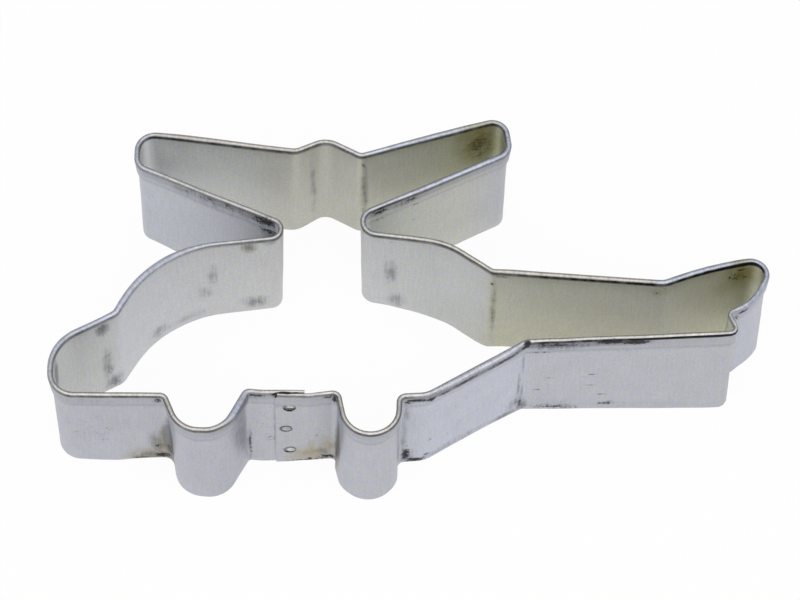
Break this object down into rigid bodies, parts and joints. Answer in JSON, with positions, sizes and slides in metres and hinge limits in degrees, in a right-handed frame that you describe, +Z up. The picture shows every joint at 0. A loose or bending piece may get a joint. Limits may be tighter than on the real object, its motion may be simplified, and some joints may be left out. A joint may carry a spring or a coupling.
{
  "type": "cookie cutter",
  "caption": "Helicopter-shaped cookie cutter: a tinplate strip bent round the outline, with a folded hem on top, a raw cutting edge below and a spot-welded lap seam.",
  "frame": {"origin": "middle of the outline's bounding box, on the plane of the cutting edge", "axes": "+X from the nose to the tail, +Y from the skids to the rotor, +Z up from the cutting edge to the hem"},
  "size_m": [0.1208, 0.0614, 0.0254],
  "materials": {
    "tinplate": "satin tinplate with a faint grain, handled and slightly stained",
    "weld": "fused and heat-dulled tinplate"
  },
  "bodies": {
    "root": {"cutter_strip": "tinplate", "spot_weld_bottom": "weld", "spot_weld_middle": "weld", "spot_weld_top": "weld"}
  },
  "joints": []
}
